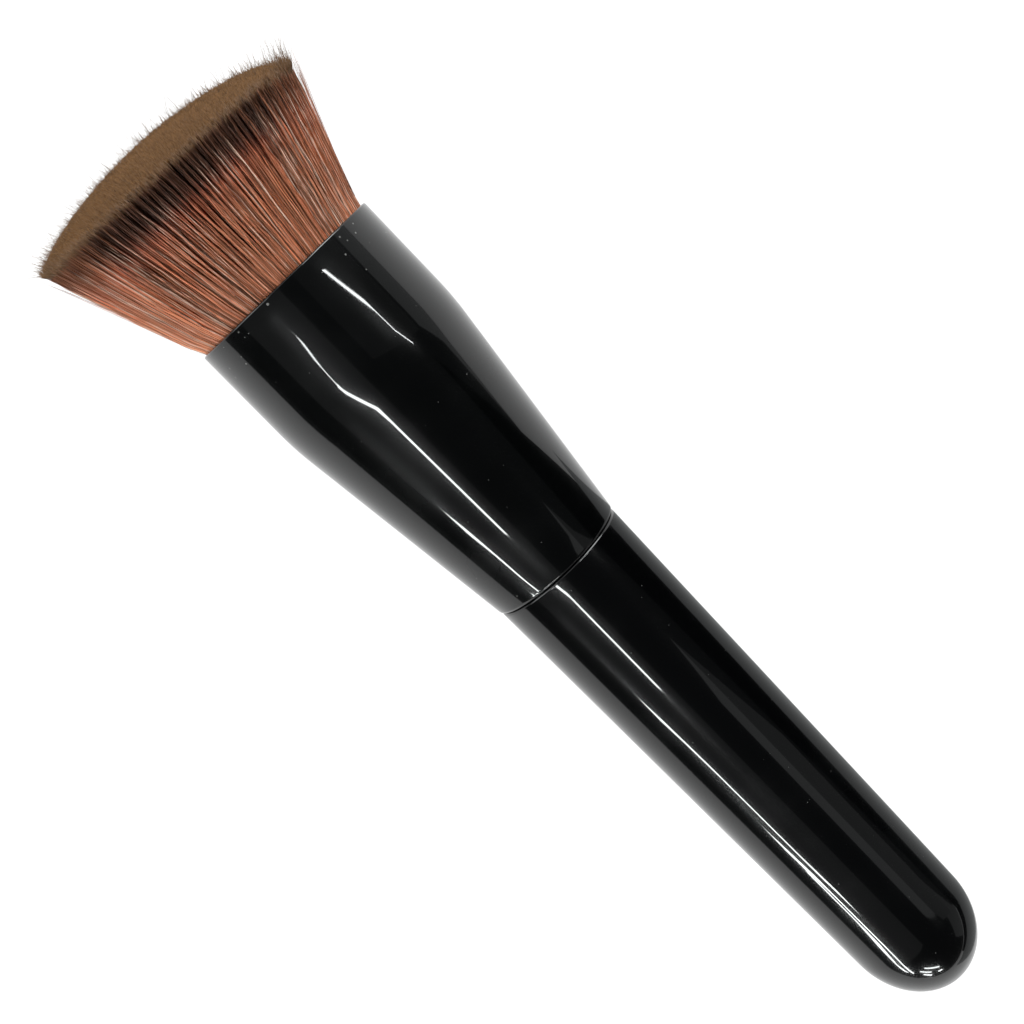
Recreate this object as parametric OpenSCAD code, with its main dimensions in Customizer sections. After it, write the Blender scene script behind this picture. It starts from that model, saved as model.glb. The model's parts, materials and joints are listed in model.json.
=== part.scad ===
// Dense flat-top powder brush: a flared head of fibres set in a tapered metal ferrule on a turned handle.
// Every piece is drawn upright on the brush's axis, with the ferrule's mouth at height 0 and the fibres
// above it. The whole brush is then laid on its side, the way it rests on a table: fibres towards -X,
// the low side of the cut face up, and the floor at Z = 0.

/* [Ferrule] */
// Outside diameter of the straight band round the fibres
band_d = 25; // [19:0.5:32]
// Length of the straight band
band_l = 14.3; // [8:0.1:24]
// Length of the cone from the band down to the handle
cone_l = 30.4; // [20:0.1:50]
// Outside diameter of the cone's narrow end
neck_d = 17.7; // [12:0.1:21]
// Thickness of the ferrule's wall
wall = 0.5; // [0.3:0.05:1]
// Radius that blends the band into the cone
kink_r = 40; // [5:1:80]
// Inside radius of the edge curled in at the narrow end
curl_r = 0.1; // [0.1:0.05:0.6]

/* [Handle] */
// How far the handle's shoulder stands in from the ferrule's outside
shoulder_step = 0.1; // [0:0.05:1]
// Rounding of the handle's shoulder
shoulder_r = 0.3; // [0.2:0.1:2]
// Length of the tapered grip, from the shoulder to the rounded end
grip_l = 61.9; // [30:0.5:110]
// Diameter of the grip where the rounded end starts
butt_d = 15.7; // [10:0.1:20]
// Length of the rounded end
butt_l = 9.7; // [4:0.1:16]
// Length of the tenon that is glued into the ferrule
tenon_l = 24; // [10:0.5:28]
// Chamfer round the tenon's end
tenon_chamfer = 1; // [0.2:0.1:3]
// Clearance round the tenon in the ferrule's curled edge
tenon_gap = 0.1; // [0.05:0.05:0.4]
// Depth of the glue grooves turned in the tenon
groove_depth = 0.5; // [0.2:0.1:1.5]
// Width of each glue groove
groove_w = 1.2; // [0.5:0.1:2]
// Distance from one glue groove to the next
groove_pitch = 5; // [3:0.5:7]

/* [Fibre head] */
// Height of the cut face above the ferrule's mouth, on the brush's axis
face_h = 21.5; // [10:0.5:40]
// Angle at which the outermost fibres flare from the axis
flare = 19.4; // [8:0.2:28]
// Slant of the cut face
face_slant = 11.1; // [0:0.1:25]
// Turn of the slant about the axis, away from straight up
face_turn = 14; // [-45:1:45]
// Radius of the cut face's dome
dome_r = 54; // [25:1:200]
// Depth to which the head is pressed flat where it lies on the floor
flat_depth = 0.8; // [0.2:0.1:1]
// Strands across the head, each way
strand_cells = 20; // [18:1:22]
// Gap between neighbouring strands where they leave their backing
strand_gap = 0.2; // [0.1:0.02:0.4]

/* [Inside the ferrule] */
// How far the fibres' backing lies below the ferrule's mouth
backing_drop = 0.3; // [0.1:0.1:2]
// Thickness of the slice of backing that holds the strands
slice_t = 1; // [0.5:0.1:3]
// Length of the roots set in resin below that slice
root_l = 9; // [5:0.5:16]
// Gap between the fibre bundle and the ferrule's wall
bundle_gap = 0.05; // [0.02:0.01:0.3]
// Width of the thread binding round the roots
binding_w = 3; // [1:0.5:4.5]
// Thickness of the thread binding
binding_t = 0.6; // [0.3:0.1:1.5]
// Height of the binding above the lower end of the roots
binding_rise = 2; // [0.5:0.5:6]

/* [Hidden] */
$fn = 96;
arc_steps = 8;
dome_steps = 18;

lacquer = "#0c0d0f";
copper_fibre = "#97614a";
cured_resin = "#8a6a45";
thread = "#d9d2c4";
clear_epoxy = "#c8b98a";

band_r = band_d / 2;
neck_r = neck_d / 2;
cone_a = atan((band_r - neck_r) / cone_l);
neck_z = -(band_l + cone_l);
// Tangent length of the blend, kept within both of the lines that it joins
kink_t = min(kink_r * tan(abs(cone_a) / 2), band_l / 3, cone_l / 3);
blend_r = kink_t / max(tan(cone_a / 2), 0.001);
bore_r = band_r - wall;
// Height of the corner between the straight bore and the cone's bore, which run parallel to the outside
bore_kink_z = -band_l + wall * tan(cone_a / 2);
// The curled edge turns about a centre that keeps it tangent to the cone, and its end forms the collar
lip_r = wall + curl_r;
collar_r = neck_r + lip_r * tan(cone_a) - lip_r / cos(cone_a);
lip_z = neck_z + lip_r;

tenon_r = collar_r - tenon_gap;
tenon_top_z = neck_z + tenon_l;
groove_count = max(1, floor((tenon_l - 2 * groove_w) / groove_pitch));
grip_top_r = neck_r - shoulder_step;
butt_r = butt_d / 2;
butt_z = neck_z - grip_l;

bundle_r = bore_r - bundle_gap;
slice_z = -backing_drop - slice_t;
root_z = slice_z - root_l;
// The bundle's round outline, of radius 1, is shared out among cells, one for each strand
cell = 2 / strand_cells;
strand_half = cell / 2 - strand_gap / (2 * bundle_r);
strand_rim = 1 - cell / 2 + strand_half;
strand_r = bundle_r * strand_rim;

// Points of an arc in the plane of a turned outline
function arc(x, y, r, from, to, steps = arc_steps) =
    [for (i = [0 : steps]) let (a = from + (to - from) * i / steps) [x + r * cos(a), y + r * sin(a)]];

// Place in a circle of radius 1 for the place (a, b) in a square of half width 1, keeping areas even
function round_place(a, b) =
    abs(a) < 0.0001 && abs(b) < 0.0001 ? [0, 0] :
    abs(a) >= abs(b) ? [a * cos(45 * b / a), a * sin(45 * b / a)] :
    [b * sin(45 * a / b), b * cos(45 * a / b)];

// The strands fan out from their backing. Each keeps its place (u, v) in the round outline, so no two
// cross. fan_r is the outline's radius at the height where that strand meets the cut face.
function fan_r(u, v) =
    let (dome = (u * u + v * v) / (2 * dome_r))
    let (slope = 1 / tan(flare) + tan(face_slant) * (u * cos(face_turn) + v * sin(face_turn)))
    let (reach = face_h + backing_drop + strand_r / tan(flare))
    2 * reach / (slope + sqrt(slope * slope + 4 * dome * reach));
function fan_h(r) = (r - strand_r) / tan(flare) - backing_drop;

// The head rests on its longest fibres, which are pressed flat against the floor there. floor_r is how far
// below the brush's axis the floor lies at the height of a strand's tip.
rest_r = fan_r(-1, 0) - flat_depth;
rest_h = fan_h(fan_r(-1, 0));
function pressed(u, v) =
    let (size = max(norm([u, v]), 0.001))
    let (rim = fan_r(u / size, v / size))
    let (floor_r = rest_r + (fan_h(rim) - rest_h) * tan(lean))
    min(1, floor_r / max(-u / size * rim, 0.001));
function tip(u, v) =
    let (r = fan_r(u, v))
    let (p = pressed(u, v))
    [u * r * p, v * r * p, fan_h(r)];

// Laid down, the brush leans on its pressed fibres and on the rounded end of its handle. lean is the slope
// of the line that touches both.
rest_span = rest_h - butt_z;
lean_root = sqrt(pow(rest_r * rest_span, 2)
    - (pow(rest_span, 2) - pow(butt_l, 2)) * (pow(rest_r, 2) - pow(butt_r, 2)));
lean = atan((rest_r * rest_span - lean_root) / (pow(rest_span, 2) - pow(butt_l, 2)));
axis_rise = rest_r * cos(lean) - rest_h * sin(lean);
// Reach of the head and of the handle along X, and of the head to either side
head_reach = max([for (u = [-1 : 0.05 : 0]) tip(u, 0)[2] * cos(lean) - tip(u, 0)[0] * sin(lean)]);
handle_reach = -butt_z * cos(lean) + norm([butt_l * cos(lean), butt_r * sin(lean)]);
side_reach = [for (side = [-1, 1]) max([for (a = [60 : 2 : 120]) side * tip(cos(a), side * sin(a))[1]])];

module laid_down() {
    translate([(head_reach - handle_reach) / 2, (side_reach[0] - side_reach[1]) / 2, axis_rise])
        rotate([0, lean - 90, 0])
            children();
}

module turned(outline) {
    rotate_extrude()
        polygon(outline);
}

// Handle: one turned piece of wood with a shoulder, a tapered grip, a rounded end and a grooved tenon
module tenon() {
    difference() {
        union() {
            translate([0, 0, neck_z - shoulder_r])
                cylinder(r = tenon_r, h = tenon_l + shoulder_r - tenon_chamfer);
            translate([0, 0, tenon_top_z - tenon_chamfer])
                cylinder(r1 = tenon_r, r2 = tenon_r - tenon_chamfer, h = tenon_chamfer);
        }
        for (i = [1 : groove_count])
            translate([0, 0, neck_z + i * groove_pitch])
                difference() {
                    cylinder(r = tenon_r + 1, h = groove_w);
                    cylinder(r = tenon_r - groove_depth, h = groove_w);
                }
    }
}

module handle() {
    color(lacquer)
        laid_down() {
            turned(concat(
                [[0, neck_z]],
                arc(grip_top_r - shoulder_r, neck_z - shoulder_r, shoulder_r, 90, 0),
                [for (i = [0 : dome_steps])
                    let (a = 90 * i / dome_steps)
                    [butt_r * cos(a), butt_z - butt_l * sin(a)]]
            ));
            tenon();
        }
}

// Ferrule: a drawn tube, straight round the fibres, then coned down, with its narrow edge curled in
module ferrule() {
    color(lacquer)
        laid_down()
            turned(concat(
                arc(band_r - wall / 2, -wall / 2, wall / 2, 180, 0),
                arc(band_r - blend_r, -band_l + kink_t, blend_r, 0, -cone_a),
                arc(collar_r, lip_z, lip_r, -cone_a, -90),
                arc(collar_r, lip_z, curl_r, -90, -cone_a),
                [[bore_r, bore_kink_z]]
            ));
}

// Bristles: strands of fibre, each a thin four-sided lock, fused to the top slice of their backing
function quad(a, b, c, d) = [[a, c, b], [a, d, c]];

// A band of faces between two loops of points, each numbered in turn and closed on itself
function band(from, to) = [for (i = [0 : len(from) - 1])
    let (next = (i + 1) % len(from))
    each quad(from[i], from[next], to[next], to[i])];

module strands_on_slice() {
    last = strand_cells;
    function lattice_at(i, j) = i * (last + 1) + j;
    lattice = [for (i = [0 : last], j = [0 : last]) round_place(i * cell - 1, j * cell - 1)];
    rim = concat(
        [for (i = [0 : last - 1]) lattice_at(i, 0)],
        [for (j = [0 : last - 1]) lattice_at(last, j)],
        [for (i = [last : -1 : 1]) lattice_at(i, last)],
        [for (j = [last : -1 : 1]) lattice_at(0, j)]
    );
    corners = [[-1, -1], [1, -1], [1, 1], [-1, 1]];
    places = [for (i = [0 : last - 1], j = [0 : last - 1], corner = corners)
        let (a = (i + 0.5) * cell - 1 + corner[0] * strand_half)
        let (b = (j + 0.5) * cell - 1 + corner[1] * strand_half)
        round_place(a / strand_rim, b / strand_rim)];
    points = concat(
        [for (p = lattice) [p[0] * bundle_r, p[1] * bundle_r, -backing_drop]],
        [for (k = rim) [lattice[k][0] * bundle_r, lattice[k][1] * bundle_r, slice_z]],
        [for (p = places) [p[0] * strand_r, p[1] * strand_r, -backing_drop]],
        [for (p = places) tip(p[0], p[1])]
    );
    under = [for (k = [0 : len(rim) - 1]) len(lattice) + k];
    first_root = len(lattice) + len(rim);
    first_tip = first_root + len(places);
    strand_faces = [for (i = [0 : last - 1], j = [0 : last - 1])
        let (strand = 4 * (i * last + j))
        let (low = lattice_at(i, j))
        let (high = lattice_at(i + 1, j))
        let (root = [for (k = [0 : 3]) first_root + strand + k])
        let (end = [for (k = [0 : 3]) first_tip + strand + k])
        each concat(
            band([low, high, high + 1, low + 1], root),
            band(root, end),
            quad(end[0], end[1], end[2], end[3])
        )];
    polyhedron(points, concat(band(under, rim), [under], strand_faces));
}

module bristles() {
    color(copper_fibre)
        laid_down()
            strands_on_slice();
}

// Bristle roots: the lower ends of the fibres, packed and set in resin, with a waist for the binding
module bristle_roots() {
    color(cured_resin)
        laid_down()
            difference() {
                translate([0, 0, root_z])
                    cylinder(r = bundle_r, h = root_l);
                root_binding_ring(bundle_r + 1);
            }
}

module root_binding_ring(outside_r) {
    translate([0, 0, root_z + binding_rise])
        difference() {
            cylinder(r = outside_r, h = binding_w);
            cylinder(r = bundle_r - binding_t, h = binding_w);
        }
}

// Root binding: turns of thread that hold the bundle together, laid side by side in the waist
module root_binding() {
    color(thread)
        laid_down()
            root_binding_ring(bundle_r);
}

// Epoxy fill: the glue poured in behind the roots, which sets round the tenon and keys into its grooves
module epoxy_fill() {
    color(clear_epoxy)
        laid_down()
            difference() {
                turned(concat(
                    [[0, root_z], [bore_r, root_z], [bore_r, bore_kink_z]],
                    arc(collar_r, lip_z, curl_r, -cone_a, -90),
                    [[collar_r, neck_z], [0, neck_z]]
                ));
                tenon();
            }
}

handle();
ferrule();
bristles();
bristle_roots();
root_binding();
epoxy_fill();
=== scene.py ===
import json
import math

import bmesh
import bpy
import numpy as np
from mathutils import Matrix, Vector


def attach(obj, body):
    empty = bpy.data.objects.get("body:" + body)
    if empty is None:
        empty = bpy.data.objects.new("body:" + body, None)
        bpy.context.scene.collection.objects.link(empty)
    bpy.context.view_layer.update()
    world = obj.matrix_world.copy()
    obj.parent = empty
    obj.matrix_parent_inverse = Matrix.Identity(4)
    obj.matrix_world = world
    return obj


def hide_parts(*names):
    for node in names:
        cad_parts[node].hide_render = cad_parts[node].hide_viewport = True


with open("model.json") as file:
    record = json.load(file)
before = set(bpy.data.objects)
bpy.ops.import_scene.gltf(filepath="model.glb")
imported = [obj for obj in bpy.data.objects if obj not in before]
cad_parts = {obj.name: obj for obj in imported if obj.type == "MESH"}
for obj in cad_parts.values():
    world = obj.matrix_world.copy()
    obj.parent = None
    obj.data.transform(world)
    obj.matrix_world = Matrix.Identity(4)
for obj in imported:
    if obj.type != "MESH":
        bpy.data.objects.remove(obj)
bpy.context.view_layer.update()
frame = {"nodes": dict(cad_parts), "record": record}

# The brush's own axis
# Every turned or bundled piece is made upright in millimetres, with the ferrule's mouth at height 0 and the
# fibres above it. It is then laid down on the axis that the ferrule's band has in the frame.
MM = 0.001
band = next(mount for mount in frame["record"]["mounts"] if mount["name"] == "ferrule_band")
mouth_lip = 0.25
toward_fibres = -Vector(band["axis"])
sideways = Vector((0, 1, 0))
upward = sideways.cross(toward_fibres)
mouth = Vector(band["pos_m"]) + toward_fibres * (mouth_lip + band["dims"]["length_mm"] / 2) * MM
laid_down = (
    Matrix.Translation(mouth)
    @ Matrix((upward, sideways, toward_fibres)).transposed().to_4x4()
    @ Matrix.Scale(MM, 4)
)

# Fibre head, its shape
# Tens of thousands of fine synthetic fibres stand packed in the ferrule's mouth and flare out of it. They
# are trimmed to a slanted, domed face, and the floor presses the lowest ones flat.
face_h = 21.5
flare = math.radians(19.4)
face_slant = math.radians(11.1)
face_turn = math.radians(14)
dome_r = 54.0
bundle_r = 11.85
backing_drop = 0.3
root_drop = 1.3
fibre_bow = 0.15
head_sway = 0.3
sway_within = 0.12
sway_growth = 0.5
rim_trim = 0.25
corner_starts = 0.65
right_corner_trim = 1.5
left_corner_trim = 0.8
top_growth = 1.7
floor_clearance = 0.04


def tip_radius(u, v):
    """Distance from the axis at which a fibre meets the trimmed face, for its place (u, v) in the bundle"""
    dome = (u * u + v * v) / (2 * dome_r)
    slope = 1 / math.tan(flare) + math.tan(face_slant) * (u * math.cos(face_turn) + v * math.sin(face_turn))
    reach = face_h + backing_drop + bundle_r / math.tan(flare)
    return 2 * reach / (slope + np.sqrt(slope * slope + 4 * dome * reach))


def trimmed_off(u, v):
    """Millimetres that a fibre falls short of the face: more at the two corners, less on the top side"""
    corner = np.clip((np.abs(v) - corner_starts) / (1 - corner_starts), 0, 1)
    corner_trim = np.where(v > 0, right_corner_trim, left_corner_trim)
    return rim_trim + corner_trim * corner * corner - top_growth * np.maximum(u, 0) ** 2


def along_fibre(u, v, share):
    """Points of fibres at a share of the way from the backing (0) to the face (1). A share below 0 gives
    millimetres below the backing, where they stand straight."""
    foot = np.stack([u * bundle_r, v * bundle_r, np.full_like(u, -backing_drop)], -1)
    radius = tip_radius(u, v)
    height = (radius - bundle_r) / math.tan(flare) - backing_drop
    tip = np.stack([u * radius, v * radius, height], -1)
    risen = np.maximum(share, 0)[..., None]
    sunk = np.minimum(share, 0)
    point = foot[:, None] * (1 - risen) + tip[:, None] * risen
    point[..., 2] += sunk
    leaned = np.minimum(risen[..., 0] / sway_within, 1) + sway_growth * risen[..., 0]
    point[..., 1] -= head_sway * leaned
    return point


def above_floor(points, clearance):
    """Lifts what would lie below the floor, along the brush's own upward direction"""
    low = (mouth.z / MM + points @ np.array([upward.z, sideways.z, toward_fibres.z])) - clearance
    points[..., 0] += np.maximum(-low, 0) / upward.z
    return points


def fibre_pattern(rings):
    """One three-sided fibre: the ring and corner of each point, and its faces as lists of points"""
    shape = bmesh.new()
    bmesh.ops.create_circle(shape, segments=3, radius=1)
    rim = list(shape.edges)
    for ring in range(1, rings):
        grown = bmesh.ops.extrude_edge_only(shape, edges=rim)["geom"]
        new_points = [part for part in grown if isinstance(part, bmesh.types.BMVert)]
        rim = [edge for edge in shape.edges if all(point in new_points for point in edge.verts)]
        bmesh.ops.translate(shape, verts=new_points, vec=(0, 0, 1))
    bmesh.ops.holes_fill(shape, edges=shape.edges, sides=3)
    bmesh.ops.recalc_face_normals(shape, faces=shape.faces)
    shape.verts.index_update()
    ring_of = np.array([round(point.co.z) for point in shape.verts])
    turn_of = np.array([math.atan2(point.co.y, point.co.x) for point in shape.verts])
    faces = [[point.index for point in face.verts] for face in shape.faces]
    shape.free()
    return ring_of, turn_of, faces


DYE_COLUMNS = 128
ORDINARY_COLUMNS = DYE_COLUMNS // 2
side_margin = 0.1
end_margin = 0.15
end_depth = 0.004
bunch_share = 0.3
corner_reach = [7, 11, 15.5]
corner_odds = [0, 0.3, 1]
cross_guide = [0.31, 0.52, 0.79]


def fibre_piece(name, centres, widths, from_tip, shown, seed, bunch=None):
    """A mesh of many fibres. centres is (fibre, ring, 3) and widths (fibre, ring), root first. The piece's
    map holds each ring's distance from the tip over shown, and a colour column, of dye and painted
    highlights,
    drawn by lot: one of the upper half for most fibres at the head's two corners, and one of the lower half
    for the others. bunch gives each fibre's bunch, in which a share of the fibres has the same lot."""
    rng = np.random.default_rng(seed)
    count, rings = widths.shape
    ring_of, turn_of, faces = fibre_pattern(rings)
    along = centres[:, -1] - centres[:, 0]
    along /= np.linalg.norm(along, axis=1, keepdims=True)
    first = np.cross(along, cross_guide)
    first /= np.linalg.norm(first, axis=1, keepdims=True)
    second = np.cross(along, first)
    turn = turn_of + rng.uniform(0, 2 * math.pi, (count, 1))
    spread = widths[:, ring_of][..., None]
    points = centres[:, ring_of] + spread * (
        np.cos(turn)[..., None] * first[:, None] + np.sin(turn)[..., None] * second[:, None]
    )
    points = above_floor(points, floor_clearance).reshape(-1, 3)
    points = points @ np.array(laid_down.to_3x3()).T + np.array(mouth)

    corners = np.array([corner for face in faces for corner in face])
    sizes = np.array([len(face) for face in faces])
    corner_of = np.round(turn_of / (2 * math.pi / 3)).astype(int) % 3
    across, past_cap = [], []
    for face in faces:
        places = [corner_of[point] for point in face]
        if len(face) == 3:
            across += [end_margin + (0.5 - end_margin) * place for place in places]
            past_cap += [end_depth * (place == 1) for place in places]
        else:
            wraps = set(places) == {0, 2}
            thirds = [3 if wraps and place == 0 else place for place in places]
            across += [side_margin + (1 - 2 * side_margin) * third / 3 for third in thirds]
            past_cap += [0.0] * 4
    at_corner = rng.random(count) < np.interp(np.abs(centres[:, -1, 1]), corner_reach, corner_odds)
    column = rng.integers(0, ORDINARY_COLUMNS, count)
    if bunch is not None:
        shares_lot = rng.random(count) < bunch_share
        bunch_column = rng.integers(0, ORDINARY_COLUMNS, bunch.max() + 1)[bunch]
        column = np.where(shares_lot, bunch_column, column)
    column = (column + ORDINARY_COLUMNS * at_corner)[:, None]
    map_u = (column + np.array(across)) / DYE_COLUMNS
    map_v = np.clip(from_tip[:, ring_of[corners]] / shown + np.array(past_cap), 0, 1)

    mesh = bpy.data.meshes.new(name)
    mesh.vertices.add(len(points))
    mesh.vertices.foreach_set("co", points.astype(np.float32).ravel())
    per_fibre = len(ring_of)
    loops = (corners + per_fibre * np.arange(count)[:, None]).ravel()
    mesh.loops.add(len(loops))
    mesh.loops.foreach_set("vertex_index", loops.astype(np.int32))
    all_sizes = np.tile(sizes, count)
    starts = np.concatenate([[0], np.cumsum(all_sizes)[:-1]])
    mesh.polygons.add(len(all_sizes))
    mesh.polygons.foreach_set("loop_start", starts.astype(np.int32))
    mesh.update(calc_edges=True)
    dye_map = mesh.uv_layers.new(name="OFBake")
    dye_map.data.foreach_set("uv", np.stack([map_u, map_v], -1).astype(np.float32).ravel())
    mesh.shade_smooth()
    mesh.validate()
    piece = bpy.data.objects.new(name, mesh)
    bpy.context.scene.collection.objects.link(piece)
    return piece


# Fibre head, its dye and painted highlights
# The fibres are copper-brown, darker in a band below tan tips, and the band is lighter at the head's
# corners. They are dipped in bulk, so each takes the dye a little differently. Some have pale stretches,
# partly lighter strands and partly painted highlights, more of them at the corners.
def put(tree, kind, into=None, **settings):
    """Adds a node. into gives the value of an input, or the socket that feeds it."""
    made = tree.nodes.new(kind)
    for name, value in settings.items():
        setattr(made, name, value)
    for name, value in (into or {}).items():
        if isinstance(value, bpy.types.NodeSocket):
            tree.links.new(value, made.inputs[name])
        else:
            made.inputs[name].default_value = value
    return made


def maths(tree, operation, *values, clamp=False):
    terms = dict(enumerate(values))
    return put(tree, "ShaderNodeMath", terms, operation=operation, use_clamp=clamp).outputs[0]


def blend(tree, share, first, second, mode="MIX"):
    made = put(tree, "ShaderNodeMix", {0: share, 6: first, 7: second}, data_type="RGBA", blend_type=mode)
    return made.outputs[2]


def ramp(tree, share, stops):
    """A colour ramp through (place, colour) stops"""
    made = put(tree, "ShaderNodeValToRGB", {"Fac": share})
    made.color_ramp.elements[1].position = 1
    while len(made.color_ramp.elements) < len(stops):
        made.color_ramp.elements.new(0.5)
    for element, (place, colour) in zip(made.color_ramp.elements, stops):
        element.position = place
        element.color = (*colour, 1)
    return made.outputs["Color"]


def srgb(red, green, blue):
    """A colour given in screen values of 0 to 255, as the renderer wants it"""
    shares = (channel / 255 for channel in (red, green, blue))
    return tuple(c / 12.92 if c < 0.04045 else ((c + 0.055) / 1.055) ** 2.4 for c in shares)


def new_group(name, inputs, outputs):
    """An empty node group with its named sockets, and its input and output nodes"""
    group = bpy.data.node_groups.new(name, "ShaderNodeTree")
    for kind, sockets in (("INPUT", inputs), ("OUTPUT", outputs)):
        for socket, socket_type in sockets.items():
            group.interface.new_socket(socket, in_out=kind, socket_type=socket_type)
    return group, group.nodes.new("NodeGroupInput").outputs, group.nodes.new("NodeGroupOutput").inputs


fibre_dye_and_highlights, given, made = new_group(
    "fibre_dye_and_highlights",
    {"Shown Length": "NodeSocketFloat"},
    {"Color": "NodeSocketColor", "Roughness": "NodeSocketFloat"},
)


def fibre_colour_maths(operation, *values, clamp=False):
    """One step of arithmetic in the fibres' colour"""
    return maths(fibre_dye_and_highlights, operation, *values, clamp=clamp)


dip_depth = 12.0
dip_unevenness = 0.28
column_step = 7.3
streak_scale = 0.28
mean_shade = 0.87
lot_contrast = 1.3
streak_contrast = 0.9
tip_contrast = 0.3
contrast_growth = 0.6
# Pale stretches: partly lighter strands and partly painted highlights, more of them at the corners
pale_highlight_share = 0.18
more_pale_highlight_at_corner = 0.1
pale_highlight_along_streak = 5.0, -1.8
pale_highlight_below_tip = 0.3, -0.7
rough_along_streak = 0.25, 0.3
pale_strand_painted_highlight = srgb(236, 200, 178)
tips = [(0.0, srgb(114, 82, 51)), (0.035, srgb(108, 76, 47))]
dark = [(0.07, srgb(95, 62, 46)), (0.27, srgb(92, 59, 45)), (0.34, srgb(105, 66, 51))]
dark += [(0.42, srgb(128, 77, 59)), (0.5, srgb(168, 97, 74))]
weak = [(0.07, srgb(140, 91, 65)), (0.25, srgb(150, 94, 68)), (0.42, srgb(176, 107, 78))]
upper = [(0.6, srgb(202, 122, 91)), (1.0, srgb(214, 137, 101))]

map_place = put(fibre_dye_and_highlights, "ShaderNodeUVMap", uv_map="OFBake").outputs[0]
place = put(fibre_dye_and_highlights, "ShaderNodeSeparateXYZ", {0: map_place}).outputs
column = fibre_colour_maths("FLOOR", fibre_colour_maths("MULTIPLY", place[0], DYE_COLUMNS))
from_tip = fibre_colour_maths("MULTIPLY", place[1], given["Shown Length"])
lot = put(fibre_dye_and_highlights, "ShaderNodeTexWhiteNoise", {"W": column}, noise_dimensions="1D").outputs
lots = put(fibre_dye_and_highlights, "ShaderNodeSeparateColor", {0: lot["Color"]}).outputs
streak_row = fibre_colour_maths("MULTIPLY", column, column_step)
streak_place = put(fibre_dye_and_highlights, "ShaderNodeCombineXYZ", {0: streak_row, 1: from_tip}).outputs[0]
streaks = {"Vector": streak_place, "Scale": streak_scale, "Detail": 2.0}
streak = put(fibre_dye_and_highlights, "ShaderNodeTexNoise", streaks).outputs["Fac"]

dip_lot = fibre_colour_maths("MULTIPLY", fibre_colour_maths("SUBTRACT", lots[0], 0.5), dip_unevenness)
dip = fibre_colour_maths("DIVIDE", fibre_colour_maths("ADD", from_tip, dip_lot), dip_depth, clamp=True)
at_corner = fibre_colour_maths("GREATER_THAN", column, ORDINARY_COLUMNS - 0.5)
band_colour = ramp(fibre_dye_and_highlights, dip, tips + dark + upper)
corner_colour = ramp(fibre_dye_and_highlights, dip, tips + weak + upper)
band_colour = blend(fibre_dye_and_highlights, at_corner, band_colour, corner_colour)

contrast = fibre_colour_maths("MULTIPLY_ADD", from_tip, contrast_growth, tip_contrast, clamp=True)
by_lot = fibre_colour_maths("MULTIPLY_ADD", lots[1], lot_contrast, -lot_contrast / 2)
by_streak = fibre_colour_maths("MULTIPLY", fibre_colour_maths("SUBTRACT", streak, 0.5), streak_contrast)
uneven = fibre_colour_maths("ADD", mean_shade, fibre_colour_maths("MULTIPLY", by_lot, contrast))
uneven = fibre_colour_maths("ADD", uneven, by_streak)
shade = put(fibre_dye_and_highlights, "ShaderNodeCombineColor", {0: uneven, 1: uneven, 2: uneven}).outputs[0]
shaded = blend(fibre_dye_and_highlights, 1.0, band_colour, shade, mode="MULTIPLY")

# Pale stretches, partly lighter strands and partly painted highlights, laid over the dyed colour
pale_highlight_from = fibre_colour_maths("MULTIPLY_ADD", at_corner, -more_pale_highlight_at_corner, 1 - pale_highlight_share)
pale_highlight = fibre_colour_maths("GREATER_THAN", lots[2], pale_highlight_from)
pale_highlight = fibre_colour_maths("MULTIPLY", pale_highlight, fibre_colour_maths("MULTIPLY_ADD", streak, *pale_highlight_along_streak, clamp=True))
pale_highlight = fibre_colour_maths("MULTIPLY", pale_highlight, fibre_colour_maths("MULTIPLY_ADD", from_tip, *pale_highlight_below_tip, clamp=True))
fibre_dye_and_highlights.links.new(blend(fibre_dye_and_highlights, pale_highlight, shaded, (*pale_strand_painted_highlight, 1)), made["Color"])
fibre_dye_and_highlights.links.new(fibre_colour_maths("MULTIPLY_ADD", streak, *rough_along_streak), made["Roughness"])


def fibre_material(name, shown, sheen):
    """Dyed fibre with painted highlights, of which the colour map spans the shown length"""
    material = bpy.data.materials.new(name)
    material.use_nodes = True
    tree = material.node_tree
    dye = put(tree, "ShaderNodeGroup", node_tree=fibre_dye_and_highlights)
    dye.inputs["Shown Length"].default_value = shown
    surface = tree.nodes["Principled BSDF"]
    surface.inputs["Specular IOR Level"].default_value = sheen
    tree.links.new(dye.outputs["Color"], surface.inputs["Base Color"])
    tree.links.new(dye.outputs["Roughness"], surface.inputs["Roughness"])
    return material


def fit_on(piece, material):
    """Gives a piece its finish, and lets it move with the brush"""
    piece.data.materials.append(material)
    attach(piece, "root")


# Outer fibres
# The fibres of the outermost layers show along their whole length. They cling together in locks, which
# wander a little and open dark gaps between them, and some wander by themselves.
outer_count = 9300
outer_from = 0.9
outer_rings = np.array([-1.0, 0.0, 0.14, 0.28, 0.42, 0.56, 0.7, 0.85, 0.95, 1.0])
outer_pieces = 3
full_length = 24.0
outer_shown = 27.0
outer_sheen = 0.3
lock_layers = 3
locks_round = 380
layer_offset = 0.37
unruly_share = 0.06
unruly_growth = 3.0
wave_lift = 0.7

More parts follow.
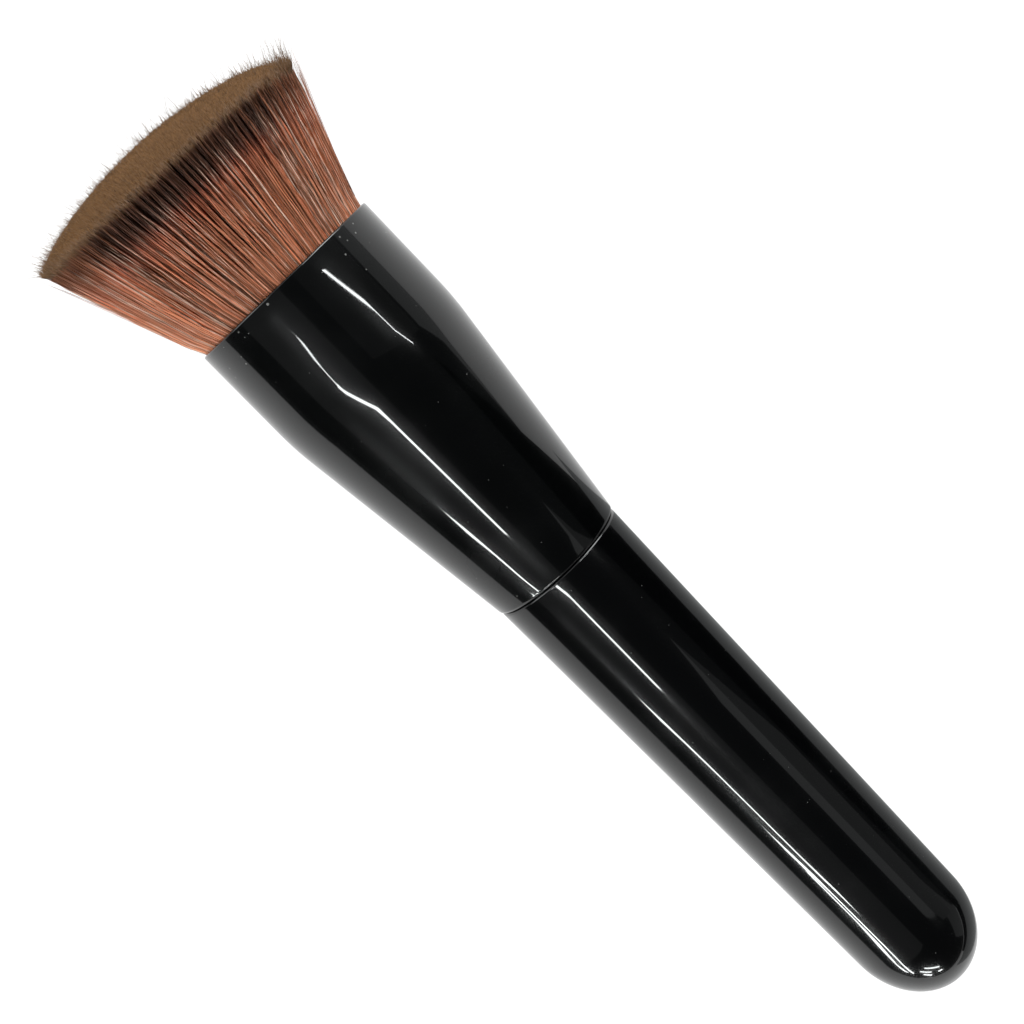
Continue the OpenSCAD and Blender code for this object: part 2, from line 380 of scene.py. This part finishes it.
rng = np.random.default_rng(11)
golden = math.pi * (3 - math.sqrt(5))
number = np.arange(outer_count) + rng.uniform(0.2, 0.8, outer_count)
rho = np.sqrt(outer_from**2 + (1 - outer_from**2) * number / outer_count)
theta = (number * golden) % (2 * math.pi)
layer = np.minimum((rho - outer_from) / (1 - outer_from) * lock_layers, lock_layers - 1).astype(int)
lock_in_layer = (theta / (2 * math.pi) * locks_round + layer_offset * layer).astype(int) % locks_round
lock = layer * locks_round + lock_in_layer
lock_theta = (lock_in_layer + 0.5 - layer_offset * layer) / locks_round * 2 * math.pi
lock_count = lock_layers * locks_round
lock_phase = rng.uniform(0, 2 * math.pi, lock_count)
lock_wave = rng.uniform(0.03, 0.14, lock_count)
lock_pitch = rng.uniform(9, 16, lock_count)
lock_lean = rng.normal(0, 0.012, lock_count)
lock_rise = rng.uniform(-0.3, 0.0, lock_count)
lock_grip = rng.uniform(0.1, 0.5, lock_count)
lock_length = rng.normal(0, 0.004, lock_count)

rise = outer_rings[None, :]
u, v = rho * np.cos(theta), rho * np.sin(theta)
length = 1 + lock_length[lock] + rng.normal(0, 0.012, outer_count) - trimmed_off(u, v) / full_length
share = np.where(rise < 0, rise, rise * length[:, None])
held = np.clip(rise, 0, 1)
# A lock is open at the root, is drawn together most just past half way up, and opens again at its tip
drawn_in = np.sin(2.9 * held**1.2) ** 2
off_lock = (theta - lock_theta + math.pi) % (2 * math.pi) - math.pi
turned = (
    theta[:, None]
    - off_lock[:, None] * lock_grip[lock][:, None] * drawn_in
    + lock_lean[lock][:, None] * held
)
centres = along_fibre(u, v, share)
radius = np.hypot(centres[..., 0], centres[..., 1])
gone = held * full_length
lock_turns = gone / lock_pitch[lock][:, None] * 2 * math.pi
wave = lock_wave[lock][:, None] * np.sin(lock_turns + lock_phase[lock][:, None])
unruly = np.where(rng.random((outer_count, 1)) < unruly_share, unruly_growth, 1.0)
own_size = unruly * rng.uniform(0.03, 0.1, (outer_count, 1))
own_turns = gone / rng.uniform(4, 9, (outer_count, 1)) * 2 * math.pi
own_wave = own_size * np.sin(own_turns + rng.uniform(0, 2 * math.pi, (outer_count, 1)))
own_rise = rng.uniform(-0.5, 0.0, (outer_count, 1))
rises = lock_rise[lock][:, None] + own_rise + wave_lift * own_wave
radius = radius + fibre_bow * 4 * held * (1 - held) + rises * held
around = turned + (wave + own_wave) * np.sqrt(held) / radius
centres[..., 0] = radius * np.cos(around)
centres[..., 1] = radius * np.sin(around)
half_width = rng.uniform(0.045, 0.07, (outer_count, 1)) * np.interp(outer_rings, [0.85, 1.0], [1.0, 0.5])
to_tip = np.clip(1 - rise, 0, 1.05) * full_length * np.ones((outer_count, 1))
to_tip[:, 0] = full_length + root_drop

outer_material = fibre_material("dyed_fibre", outer_shown, outer_sheen)
by_angle = np.argsort(theta)
for part, chosen in enumerate(np.array_split(by_angle, outer_pieces)):
    fibres = fibre_piece(
        f"outer_fibres_{part + 1}",
        centres[chosen],
        half_width[chosen],
        to_tip[chosen],
        outer_shown,
        seed=20 + part,
        bunch=lock[chosen],
    )
    fit_on(fibres, outer_material)
    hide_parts("bristles")

# Inner fibres
# Behind the outer layers only the ends of the fibres show, as the velvety face. Below the face they are so
# tightly packed that nothing is seen between them.
inner_count = 32000
inner_pieces = 3
inner_shown = 3.2
inner_sheen = 0.1
inner_rings = np.array([-2.8, -0.9, 0.0])
inner_taper = np.array([1.0, 0.95, 0.5])
inner_overlap = 0.015
inner_splay = 0.06
splay_along = np.array([0.0, 0.5, 1.0])

rng = np.random.default_rng(12)
number = np.arange(inner_count) + 0.5
rho = (outer_from + inner_overlap) * np.sqrt(number / inner_count)
theta = number * golden + rng.normal(0, 0.004, inner_count)
u, v = rho * np.cos(theta), rho * np.sin(theta)
fibre_length = np.linalg.norm(along_fibre(u, v, np.ones((inner_count, 1)))[:, 0], axis=1)
uneven_trim = rng.normal(-0.05, 0.13, (inner_count, 1)) - trimmed_off(u, v)[:, None]
share = 1 + (inner_rings[None, :] + uneven_trim) / fibre_length[:, None]
centres = along_fibre(u, v, share)
centres[..., :2] += rng.normal(0, inner_splay, (inner_count, 1, 2)) * splay_along[None, :, None]
half_width = rng.uniform(0.06, 0.09, (inner_count, 1)) * inner_taper
to_tip = -inner_rings[None, :] * np.ones((inner_count, 1))

inner_material = fibre_material("dyed_fibre_ends", inner_shown, inner_sheen)
for part, chosen in enumerate(np.array_split(np.arange(inner_count), inner_pieces)):
    fibres = fibre_piece(
        f"inner_fibres_{part + 1}",
        centres[chosen],
        half_width[chosen],
        to_tip[chosen],
        inner_shown,
        seed=30 + part,
    )
    fit_on(fibres, inner_material)
    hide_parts("bristles")

# Stray fibres
# Finer than the rest to look at, these stand clear of the trimmed face or of the flanks. The most and the
# longest of them are at the head's right corner.
fuzz_count = 7000
right_corner_count = 170
left_corner_count = 90
round_count = 640
rim_count = 3600
longest_stray = 4.0
stray_rings = np.array([-5.0, -1.5, 0.0, 0.5, 1.0])
roots_drawn_in = np.array([0.9, 0.95])
fuzz_taper = np.array([0.6, 1.0, 1.0, 0.8, 0.3])
fuzz_dye_reach = 0.15
flank_count = 90
right_flank_count = 40
flank_rings = np.array([0.1, 0.4, 0.7, 0.9, 1.0])
flank_taper = np.array([0.5, 1.0, 1.0, 0.8, 0.3])

rng = np.random.default_rng(13)
right_corner = slice(0, right_corner_count)
left_corner = slice(right_corner.stop, right_corner.stop + left_corner_count)
all_round = slice(left_corner.stop, left_corner.stop + round_count)
theta = math.pi + rng.uniform(-1.9, 1.9, fuzz_count)
rho = np.sqrt(rng.random(fuzz_count))
theta[right_corner] = rng.normal(math.pi / 2, 0.3, right_corner_count)
theta[left_corner] = rng.normal(-math.pi / 2, 0.3, left_corner_count)
theta[all_round] = rng.uniform(0, 2 * math.pi, round_count)
rho[:rim_count] = 1 - 0.08 * rng.random(rim_count) ** 2
u, v = rho * np.cos(theta), rho * np.sin(theta)
beyond = 0.1 + rng.exponential(0.42, fuzz_count)
beyond[right_corner] += rng.exponential(1.1, right_corner_count)
beyond[left_corner] += rng.exponential(0.4, left_corner_count)
beyond = np.minimum(beyond, longest_stray)[:, None]
height = np.where(stray_rings < 0, stray_rings, stray_rings * beyond) - trimmed_off(u, v)[:, None]
centres = along_fibre(u, v, 1 + height / full_length)
centres[:, : len(roots_drawn_in), :2] *= roots_drawn_in[None, :, None]
bent = np.maximum(stray_rings + 0.1, 0)[None, :, None] ** 1.5 * beyond[..., None]
centres[..., :2] += rng.normal(0, 0.22, (fuzz_count, 1, 2)) * bent
half_width = rng.uniform(0.015, 0.028, (fuzz_count, 1)) * fuzz_taper
to_tip = fuzz_dye_reach * (stray_rings[-1] - stray_rings) * beyond

theta = rng.uniform(0, 2 * math.pi, flank_count)
theta[:right_flank_count] = rng.normal(math.pi / 2, 0.25, right_flank_count)
flank_share = flank_rings * rng.uniform(0.8, 1.03, (flank_count, 1))
flank_centres = along_fibre(np.cos(theta), np.sin(theta), flank_share)
away_by = rng.uniform(0.3, 1.4, (flank_count, 1)) * np.maximum(flank_share - 0.2, 0) ** 1.5 + 0.1
flank_centres[..., 0] += away_by * np.cos(theta)[:, None]
flank_centres[..., 1] += away_by * np.sin(theta)[:, None]
flank_width = rng.uniform(0.016, 0.026, (flank_count, 1)) * flank_taper
flank_to_tip = np.maximum(1 - flank_share, 0) * full_length

stray_fibres = fibre_piece(
    "stray_fibres",
    np.concatenate([centres, flank_centres]),
    np.concatenate([half_width, flank_width]),
    np.concatenate([to_tip, flank_to_tip]),
    outer_shown,
    seed=40,
)
fit_on(stray_fibres, outer_material)
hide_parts("bristles")

# Packed middle of the head
# The fibres between the backing and the ends that show touch each other, so they are one closed mass here,
# which reaches up to just under the face. Its dark brown is painted shade, the darkness deep between the
# fibres.
core_underlap = 0.02
core_below_tips = 1.2
core_clearance = 0.4
core_steps = 72
grain_scale = 2600.0

core_share = outer_from - core_underlap
core = bmesh.new()
outline = [(core_share * k / 10, 0.0, 1.0) for k in range(11)]
outline += [(core_share, 0.0, level) for level in (0.75, 0.5, 0.25, 0.0)]
outline += [(0.0, 0.0, 0.0)]
points = [core.verts.new(point) for point in outline]
lines = [core.edges.new(pair) for pair in zip(points, points[1:])]
bmesh.ops.spin(
    core,
    geom=points + lines,
    axis=(0, 0, 1),
    angle=2 * math.pi,
    steps=core_steps,
    use_merge=True,
)
bmesh.ops.remove_doubles(core, verts=core.verts, dist=1e-5)
for point in core.verts:
    u, v, level = np.array([point.co.x]), np.array([point.co.y]), point.co.z
    length = np.linalg.norm(along_fibre(u, v, np.ones((1, 1)))[0, 0])
    filled = 1 - (core_below_tips + trimmed_off(u, v)[0]) / length
    placed = along_fibre(u, v, np.array([[level * filled]]))
    placed[..., 2] -= (1 - level) * (root_drop - backing_drop)
    point.co = above_floor(placed, core_clearance)[0, 0]
bmesh.ops.recalc_face_normals(core, faces=core.faces)
core.transform(laid_down)
core_mesh = bpy.data.meshes.new("packed_fibres")
core.to_mesh(core_mesh)
core.free()
core_mesh.shade_smooth()
packed_fibres = bpy.data.objects.new("packed_fibres", core_mesh)
bpy.context.scene.collection.objects.link(packed_fibres)
core_material = bpy.data.materials.new("packed_fibre")
core_material.use_nodes = True
tree = core_material.node_tree
where = put(tree, "ShaderNodeTexCoord").outputs["Object"]
grain = put(tree, "ShaderNodeTexNoise", {"Vector": where, "Scale": grain_scale}).outputs["Fac"]
# Dark browns: painted shade, the darkness deep between the packed fibres
core_painted_shade_colour = ramp(tree, grain, [(0.3, srgb(40, 24, 18)), (0.7, srgb(92, 62, 44))])
surface = tree.nodes["Principled BSDF"]
tree.links.new(core_painted_shade_colour, surface.inputs["Base Color"])
surface.inputs["Roughness"].default_value = 0.9
fit_on(packed_fibres, core_material)
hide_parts("bristles")

# Ferrule
# A tube drawn from thin aluminium: straight round the fibres, then coned down to the handle, with its
# narrow edge curled in and its mouth rounded. It is sprayed and baked in gloss black lacquer.
band_r = 12.5
band_l = 14.3
cone_l = 30.4
neck_r = 8.85
wall = 0.5
kink_r = 40.0
curl_r = 0.1
neck_z = -(band_l + cone_l)
cone_a = math.atan((band_r - neck_r) / cone_l)
kink_t = kink_r * math.tan(cone_a / 2)
lip_r = wall + curl_r
collar_r = neck_r + lip_r * math.tan(cone_a) - lip_r / math.cos(cone_a)
lip_z = neck_z + lip_r
bore_r = band_r - wall


def arc(x, z, radius, start, end, steps):
    """Points of an arc in the plane of a turned outline, with angles in radians"""
    angles = [start + (end - start) * k / steps for k in range(steps + 1)]
    return [(x + radius * math.cos(a), z + radius * math.sin(a)) for a in angles]


def between(start, end, steps):
    """Points along a straight run, without its ends"""
    return [
        (start[0] + (end[0] - start[0]) * k / steps, start[1] + (end[1] - start[1]) * k / steps)
        for k in range(1, steps)
    ]


def turned_piece(name, outline, closed, steps=160):
    """A smooth mesh turned from an outline of (radius, height) points"""
    shape = bmesh.new()
    points = [shape.verts.new((radius, 0, height)) for radius, height in outline]
    following = points[1:] + points[:1] if closed else points[1:]
    lines = [shape.edges.new(pair) for pair in zip(points, following)]
    bmesh.ops.spin(
        shape,
        geom=points + lines,
        axis=(0, 0, 1),
        angle=2 * math.pi,
        steps=steps,
        use_merge=True,
    )
    bmesh.ops.remove_doubles(shape, verts=shape.verts, dist=1e-4)
    bmesh.ops.recalc_face_normals(shape, faces=shape.faces)
    shape.transform(laid_down)
    mesh = bpy.data.meshes.new(name)
    shape.to_mesh(mesh)
    shape.free()
    mesh.shade_smooth()
    mesh.set_sharp_from_angle(angle=math.radians(40))
    piece = bpy.data.objects.new(name, mesh)
    bpy.context.scene.collection.objects.link(piece)
    return piece


mouth_arc = arc(band_r - wall / 2, -wall / 2, wall / 2, math.pi, 0, 12)
kink_arc = arc(band_r - kink_r, -band_l + kink_t, kink_r, 0, -cone_a, 16)
lip_arc = arc(collar_r, lip_z, lip_r, -cone_a, -math.pi / 2, 12)
curl_arc = arc(collar_r, lip_z, curl_r, -math.pi / 2, -cone_a, 6)
bore_corner = (bore_r, -band_l + wall * math.tan(cone_a / 2))
ferrule_outline = (
    mouth_arc
    + between(mouth_arc[-1], kink_arc[0], 6)
    + kink_arc
    + between(kink_arc[-1], lip_arc[0], 12)
    + lip_arc
    + curl_arc
    + [bore_corner]
)
ferrule = turned_piece("ferrule_shell", ferrule_outline, closed=True)

gloss_wear, given, made = new_group(
    "gloss_wear",
    {"Body": "NodeSocketColor", "Dust": "NodeSocketFloat"},
    {"Color": "NodeSocketColor", "Roughness": "NodeSocketFloat", "Coat": "NodeSocketFloat"},
)


def wear_maths(operation, *values, clamp=False):
    """One step of arithmetic in the lacquer's wear"""
    return maths(gloss_wear, operation, *values, clamp=clamp)


near_mouth_along_x = -150.0, -5.4
fewest_specks = 0.7
more_near_mouth = 0.4
speck_scale = 1100.0
speck_size_most = 0.28
speck_edge = 30.0
dust_grey = 0.24, 0.24, 0.23, 1
handled_scale = 90.0
handled_contrast = 4.0, -1.9
handled_roughness = 0.14
least_roughness = 0.2

where = put(gloss_wear, "ShaderNodeTexCoord").outputs["Object"]
along_x = put(gloss_wear, "ShaderNodeSeparateXYZ", {0: where}).outputs[0]
near_mouth = wear_maths("MULTIPLY_ADD", along_x, *near_mouth_along_x, clamp=True)
specks = put(gloss_wear, "ShaderNodeTexVoronoi", {"Vector": where, "Scale": speck_scale})
speck_lot = put(gloss_wear, "ShaderNodeSeparateColor", {0: specks.outputs["Color"]}).outputs
speck_least = wear_maths("MULTIPLY_ADD", near_mouth, -more_near_mouth, fewest_specks)
speck_size = wear_maths("SUBTRACT", speck_lot[0], speck_least, clamp=True)
speck_size = wear_maths("MULTIPLY", speck_size, speck_size_most)
speck = wear_maths("SUBTRACT", speck_size, specks.outputs["Distance"])
speck = wear_maths("MULTIPLY", speck, speck_edge, clamp=True)
speck = wear_maths("MULTIPLY", speck, given["Dust"])
smears = {"Vector": where, "Scale": handled_scale, "Detail": 3.0}
handled = put(gloss_wear, "ShaderNodeTexNoise", smears).outputs["Fac"]
handled = wear_maths("MULTIPLY_ADD", handled, *handled_contrast, clamp=True)
roughness = wear_maths("MULTIPLY_ADD", handled, handled_roughness, least_roughness)
gloss_wear.links.new(blend(gloss_wear, speck, given["Body"], dust_grey), made["Color"])
gloss_wear.links.new(roughness, made["Roughness"])
gloss_wear.links.new(wear_maths("SUBTRACT", 1.0, speck, clamp=True), made["Coat"])


def gloss_lacquer(name, body, dust):
    """Black lacquer in two layers: the coloured one has a soft sheen, the clear one sharp reflections"""
    material = bpy.data.materials.new(name)
    material.use_nodes = True
    tree = material.node_tree
    wear = put(tree, "ShaderNodeGroup", node_tree=gloss_wear)
    wear.inputs["Body"].default_value = (*body, 1)
    wear.inputs["Dust"].default_value = dust
    surface = tree.nodes["Principled BSDF"]
    surface.inputs["Specular IOR Level"].default_value = 0.15
    surface.inputs["Coat Roughness"].default_value = 0.035
    surface.inputs["Coat IOR"].default_value = 1.5
    tree.links.new(wear.outputs["Color"], surface.inputs["Base Color"])
    tree.links.new(wear.outputs["Roughness"], surface.inputs["Roughness"])
    tree.links.new(wear.outputs["Coat"], surface.inputs["Coat Weight"])
    return material


ferrule_black = 0.0009, 0.0011, 0.0012
ferrule_gloss = gloss_lacquer("ferrule_lacquer_gloss", ferrule_black, dust=0.8)
fit_on(ferrule, ferrule_gloss)
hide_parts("ferrule")

# Binding, roots and glue inside the ferrule
# The fibres' roots are bound with turns of nylon thread, set in resin and pushed into the ferrule, and
# epoxy poured in behind them holds the handle's tenon. These are hidden, so the solids of the frame stay.
axis_lean = math.atan2(-Vector(band["axis"]).z, Vector(band["axis"]).x)


def inner_material_for(node, name, stops, scale, stretch, roughness, bump):
    """A material whose pattern lies along the brush's axis"""
    material = bpy.data.materials.new(name)
    material.use_nodes = True
    tree = material.node_tree
    where = put(tree, "ShaderNodeTexCoord").outputs["Object"]
    along_axis = {"Vector": where, "Rotation": (0, axis_lean, 0), "Scale": stretch}
    turned = put(tree, "ShaderNodeMapping", along_axis).outputs[0]
    noise = {"Vector": turned, "Scale": scale, "Detail": 3.0}
    pattern = put(tree, "ShaderNodeTexNoise", noise).outputs["Fac"]
    surface = tree.nodes["Principled BSDF"]
    tree.links.new(ramp(tree, pattern, stops), surface.inputs["Base Color"])
    surface.inputs["Roughness"].default_value = roughness
    relief = put(tree, "ShaderNodeBump", {"Height": pattern, "Strength": 0.6, "Distance": bump})
    tree.links.new(relief.outputs["Normal"], surface.inputs["Normal"])
    frame["nodes"][node].data.materials.clear()
    frame["nodes"][node].data.materials.append(material)


inner_material_for(
    "root_binding",
    "wound_thread",
    stops=[(0.35, srgb(176, 168, 150)), (0.65, srgb(226, 219, 203))],
    scale=900.0,
    stretch=(3.0, 0.08, 0.08),
    roughness=0.6,
    bump=0.0002,
)
inner_material_for(
    "bristle_roots",
    "resin_set_fibre",
    stops=[(0.35, srgb(74, 46, 30)), (0.65, srgb(150, 108, 66))],
    scale=2200.0,
    stretch=(0.06, 1.0, 1.0),
    roughness=0.35,
    bump=0.0001,
)
inner_material_for(
    "epoxy_fill",
    "cured_epoxy",
    stops=[(0.3, srgb(186, 158, 96)), (0.7, srgb(212, 188, 128))],
    scale=160.0,
    stretch=(1.0, 1.0, 1.0),
    roughness=0.15,
    bump=0.0001,
)

# Handle
# Turned from one piece of beech, with a rounded shoulder, a slight taper and a rounded end, then dipped in
# gloss black lacquer. Its grooved tenon is glued into the ferrule.
shoulder_step = 0.1
shoulder_r = 0.3
grip_l = 61.9
butt_r = 7.85
butt_l = 9.7
butt_steps = 28
tenon_l = 24.0
tenon_chamfer = 1.0
tenon_gap = 0.1
groove_depth = 0.5
groove_w = 1.2
groove_pitch = 5.0
groove_count = 4
grip_r = neck_r - shoulder_step
tenon_r = collar_r - tenon_gap
butt_z = neck_z - grip_l
tenon_top = neck_z + tenon_l

tenon_outline = [(0, tenon_top), (tenon_r - tenon_chamfer, tenon_top)]
tenon_outline += [(tenon_r, tenon_top - tenon_chamfer)]
for groove in range(groove_count, 0, -1):
    low = neck_z + groove * groove_pitch
    tenon_outline += [(tenon_r, low + groove_w), (tenon_r - groove_depth, low + groove_w)]
    tenon_outline += [(tenon_r - groove_depth, low), (tenon_r, low)]
tenon_outline += [(tenon_r, neck_z)]
shoulder_arc = arc(grip_r - shoulder_r, neck_z - shoulder_r, shoulder_r, math.pi / 2, 0, 10)
quarter = [math.pi / 2 * k / butt_steps for k in range(butt_steps)]
butt_arc = [(butt_r * math.cos(a), butt_z - butt_l * math.sin(a)) for a in quarter]
handle_outline = (
    tenon_outline
    + shoulder_arc
    + between(shoulder_arc[-1], butt_arc[0], 16)
    + butt_arc
    + [(0, butt_z - butt_l)]
)
handle = turned_piece("handle_body", handle_outline, closed=False)
handle_black = 0.0009, 0.001, 0.0012
handle_gloss = gloss_lacquer("handle_lacquer_gloss", handle_black, dust=0.5)
fit_on(handle, handle_gloss)
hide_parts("handle")

# Table
# A plain white table top, on which the brush lies. Seen directly or in a reflection it glows evenly, with
# a faint shadow, and to all other light it is matt. The lacquer shows it as pale bands along its sides.
table_half = 20.0
glow_seen = 0.95
glow_reflected = 0.6

bpy.ops.mesh.primitive_plane_add(size=2 * table_half, location=(0, 0, 0))
table = bpy.context.object
table.name = "table_top"
table_material = bpy.data.materials.new("white_table")
table_material.use_nodes = True
tree = table_material.node_tree
tree.nodes.remove(tree.nodes["Principled BSDF"])
path = put(tree, "ShaderNodeLightPath").outputs
seen = maths(tree, "MAXIMUM", path["Is Camera Ray"], path["Is Glossy Ray"])
seen = maths(tree, "MAXIMUM", seen, path["Is Transmission Ray"])
glow = maths(tree, "MULTIPLY_ADD", path["Is Camera Ray"], glow_seen - glow_reflected, glow_reflected)
matt = put(tree, "ShaderNodeBsdfDiffuse", {"Color": (0.8, 0.8, 0.8, 1)}).outputs[0]
thin_matt = put(tree, "ShaderNodeBsdfDiffuse", {"Color": (0.2, 0.2, 0.2, 1)}).outputs[0]
white = put(tree, "ShaderNodeEmission", {"Color": (1, 1, 1, 1), "Strength": glow}).outputs[0]
lit = put(tree, "ShaderNodeAddShader", {0: thin_matt, 1: white}).outputs[0]
mixed = put(tree, "ShaderNodeMixShader", {0: seen, 1: matt, 2: lit}).outputs[0]
tree.links.new(mixed, tree.nodes["Material Output"].inputs["Surface"])
table.data.materials.append(table_material)

# Lamps
# Strip lamps hang over the brush and draw its highlights, bright panels light the head from both sides and
# from before, and dim panels are the rest of the room in the lacquer. Places are directions seen from the
# brush, as degrees across (to +Y) and along (to +X) from straight up, or points in metres.
strip_distance = 0.8
panel_distance = 2.0
near_height = 0.24
lamp_white = 0.97, 1.0, 1.0, 1


def toward(across, along, distance):
    """The point at a distance from the brush, in a direction given by its degrees across and along"""
    across, along = math.radians(across), math.radians(along)
    way = Vector((math.sin(along), math.cos(along) * math.sin(across), math.cos(along) * math.cos(across)))
    return way * distance


def card(name, one_edge, other_edge, radiance):
    """A glowing card between two edges, which are lists of points. The camera doesn't see it."""
    shape = bmesh.new()
    first, second = ([shape.verts.new(point) for point in edge] for edge in (one_edge, other_edge))
    for k in range(len(first) - 1):
        shape.faces.new((first[k], first[k + 1], second[k + 1], second[k]))
    mesh = bpy.data.meshes.new(name)
    shape.to_mesh(mesh)
    shape.free()
    material = bpy.data.materials.new(name)
    material.use_nodes = True
    tree = material.node_tree
    tree.nodes.remove(tree.nodes["Principled BSDF"])
    glow = put(tree, "ShaderNodeEmission", {"Color": lamp_white, "Strength": radiance}).outputs[0]
    tree.links.new(glow, tree.nodes["Material Output"].inputs["Surface"])
    mesh.materials.append(material)
    made_card = bpy.data.objects.new(name, mesh)
    made_card.visible_camera = False
    made_card.visible_shadow = False
    bpy.context.scene.collection.objects.link(made_card)
    return made_card


def strip(name, path, width, radiance):
    """A thin glowing strip along a path of points"""
    edges = [], []
    for before, point, after in zip(path[:1] + path[:-1], path, path[1:] + path[-1:]):
        half = (after - before).cross(point).normalized() * width / 2
        edges[0].append(point + half)
        edges[1].append(point - half)
    return card(name, *edges, radiance)


near_path = [(0.0015, -0.16), (0.016, -0.157), (0.07, -0.1), (0.118, -0.106)]
near_end = [(-0.015, -0.128), (-0.007, -0.152), (0.0015, -0.16)]
for name, path, width, radiance in (
    ("near_strip", near_path, 0.011, 30.0),
    ("near_strip_end", near_end, 0.003, 25.0),
):
    strip(name, [Vector((*place, near_height)) for place in path], width, radiance)

right_path = [(33.9, 1.0), (39.3, 2.1), (44.2, 2.9), (45.2, 4.2), (51.0, 10.8)]
low_paths = [
    [(-62.0, 21.3), (-59.5, 22.8), (-57.5, 25.0), (-56.7, 28.0), (-56.2, 29.8), (-53.5, 32.0)],
    [(-68.0, 27.6), (-63.8, 30.2), (-63.6, 33.4), (-64.2, 34.6), (-69.0, 42.2), (-77.0, 51.7)],
    [(-68.3, 29.1), (-68.5, 32.1), (-73.3, 33.2), (-76.1, 39.3), (-82.0, 49.2)],
]
end_paths = [
    [(-52.0, 57.5), (-31.7, 71.5)],
    [(-65.7, 56.0), (-61.0, 67.0)],
    [(-58.3, 74.0), (-45.7, 77.4)],
    [(-74.3, 60.7), (-75.9, 68.7)],
]
for name, path, width, radiance in (
    ("right_strip", right_path, 0.009, 30.0),
    ("low_strip_1", low_paths[0], 0.021, 30.0),
    ("low_strip_2", low_paths[1], 0.024, 30.0),
    ("low_strip_3", low_paths[2], 0.024, 30.0),
    ("end_strip_1", end_paths[0], 0.03, 20.0),
    ("end_strip_2", end_paths[1], 0.03, 20.0),
    ("end_strip_3", end_paths[2], 0.03, 20.0),
    ("end_strip_4", end_paths[3], 0.03, 20.0),
):
    strip(name, [toward(*place, strip_distance) for place in path], width, radiance)

for name, places, radiance in (
    ("left_panel", [(-65, -5), (-65, 36), (-10, -5), (-10, 36)], 0.13),
    ("right_panel", [(9, -12), (9, 9), (68, -12), (68, 9)], 0.07),
    ("low_right_panel", [(71, -14), (71, 8), (89, -14), (89, 17)], 0.3),
    ("far_right_panel", [(60, 28), (60, 55), (105, 29), (105, 55)], 0.2),
    ("right_side_panel", [(25, -65), (25, -20), (85, -65), (85, -20)], 7.0),
    ("left_side_panel", [(-25, -65), (-25, -20), (-85, -65), (-85, -20)], 2.8),
):
    places = [toward(*place, panel_distance) for place in places]
    card(name, places[:2], places[2:], radiance)
front_foot = [(-0.75, -0.35, 0.05), (-0.75, 0.35, 0.05)]
front_top = [(-0.45, -0.35, 0.5), (-0.45, 0.35, 0.5)]
card("front_panel", front_foot, front_top, 1.0)
wedge_near = [(0.085, 0.075, 0.14), (0.21, 0.12, 0.22)]
wedge_middle = [(0.087, 0.14, 0.16), (0.21, 0.18, 0.18)]
wedge_far = [(0.135, 0.24, 0.09), (0.26, 0.32, 0.1)]
card("wedge_panel", wedge_near, wedge_middle, 0.38)
card("dim_wedge_panel", wedge_middle, wedge_far, 0.17)

# The darker surroundings low on either side, as cards that only reflections see, and a grey card lying on
# the table at the brush's right, a painted shadow of the brush in the lacquer's reflections
left_dark = [(-0.5, -0.3, 0), (0.5, -0.3, 0)], [(-0.5, -0.3, 0.06), (0.5, -0.3, 0.06)]
right_dark_foot = [(0.006, 0.05, 0), (0.09, 0.05, 0), (0.2, 0.05, 0)]
right_dark_top = [(-0.012, 0.05, 0.05), (0.09, 0.05, 0.012), (0.2, 0.05, 0.012)]
# A dim sheet just above the table at the brush's right: painted shadow of the brush, seen only in
# reflections
right_painted_shadow = [(0, 0.01, 0.0004), (0.2, 0.01, 0.0004)], [(0, 0.05, 0.0004), (0.2, 0.05, 0.0004)]
for name, low_edge, high_edge, radiance in (
    ("left_dark_card", *left_dark, 0.02),
    ("right_dark_card", right_dark_foot, right_dark_top, 0.0),
    ("right_grey_card", *right_painted_shadow, 0.27),
):
    card(name, low_edge, high_edge, radiance).visible_diffuse = False

world = bpy.data.worlds.new("studio")
bpy.context.scene.world = world
world.use_nodes = True
world.node_tree.nodes["Background"].inputs["Color"].default_value = (0.95, 1.0, 1.0, 1)
world.node_tree.nodes["Background"].inputs["Strength"].default_value = 0.03

# Camera
# It looks down on the brush, tilted a little from its axis, and sees the middle of the ferrule's mouth at
# mouth_pixel in a frame of 1024 by 1024 pixels.
frame_pixels = 1024
focal_pixels = 1900
mouth_pixel = (284, 280)
mouth_distance = 212.9 * MM
view_tilt = math.radians(9.7)
axis_in_frame = Vector((0.697, -0.717)).normalized()

away = -toward_fibres * math.cos(view_tilt) + upward * math.sin(view_tilt)
looking = -(upward * math.cos(view_tilt) + toward_fibres * math.sin(view_tilt))
across_view = looking.cross(away)
frame_right = away * axis_in_frame.x + across_view * axis_in_frame.y
frame_up = away * axis_in_frame.y - across_view * axis_in_frame.x
offset_x = (mouth_pixel[0] - frame_pixels / 2) / focal_pixels
offset_y = (frame_pixels / 2 - mouth_pixel[1]) / focal_pixels
camera_data = bpy.data.cameras.new("camera")
camera_data.sensor_width = 36
camera_data.lens = focal_pixels / frame_pixels * camera_data.sensor_width
camera = bpy.data.objects.new("camera", camera_data)
camera.matrix_world = (
    Matrix.Translation(mouth - (looking + frame_right * offset_x + frame_up * offset_y) * mouth_distance)
    @ Matrix((frame_right, frame_up, -looking)).transposed().to_4x4()
)
bpy.context.scene.collection.objects.link(camera)
bpy.context.scene.camera = camera
bpy.context.scene.view_settings.view_transform = "Standard"
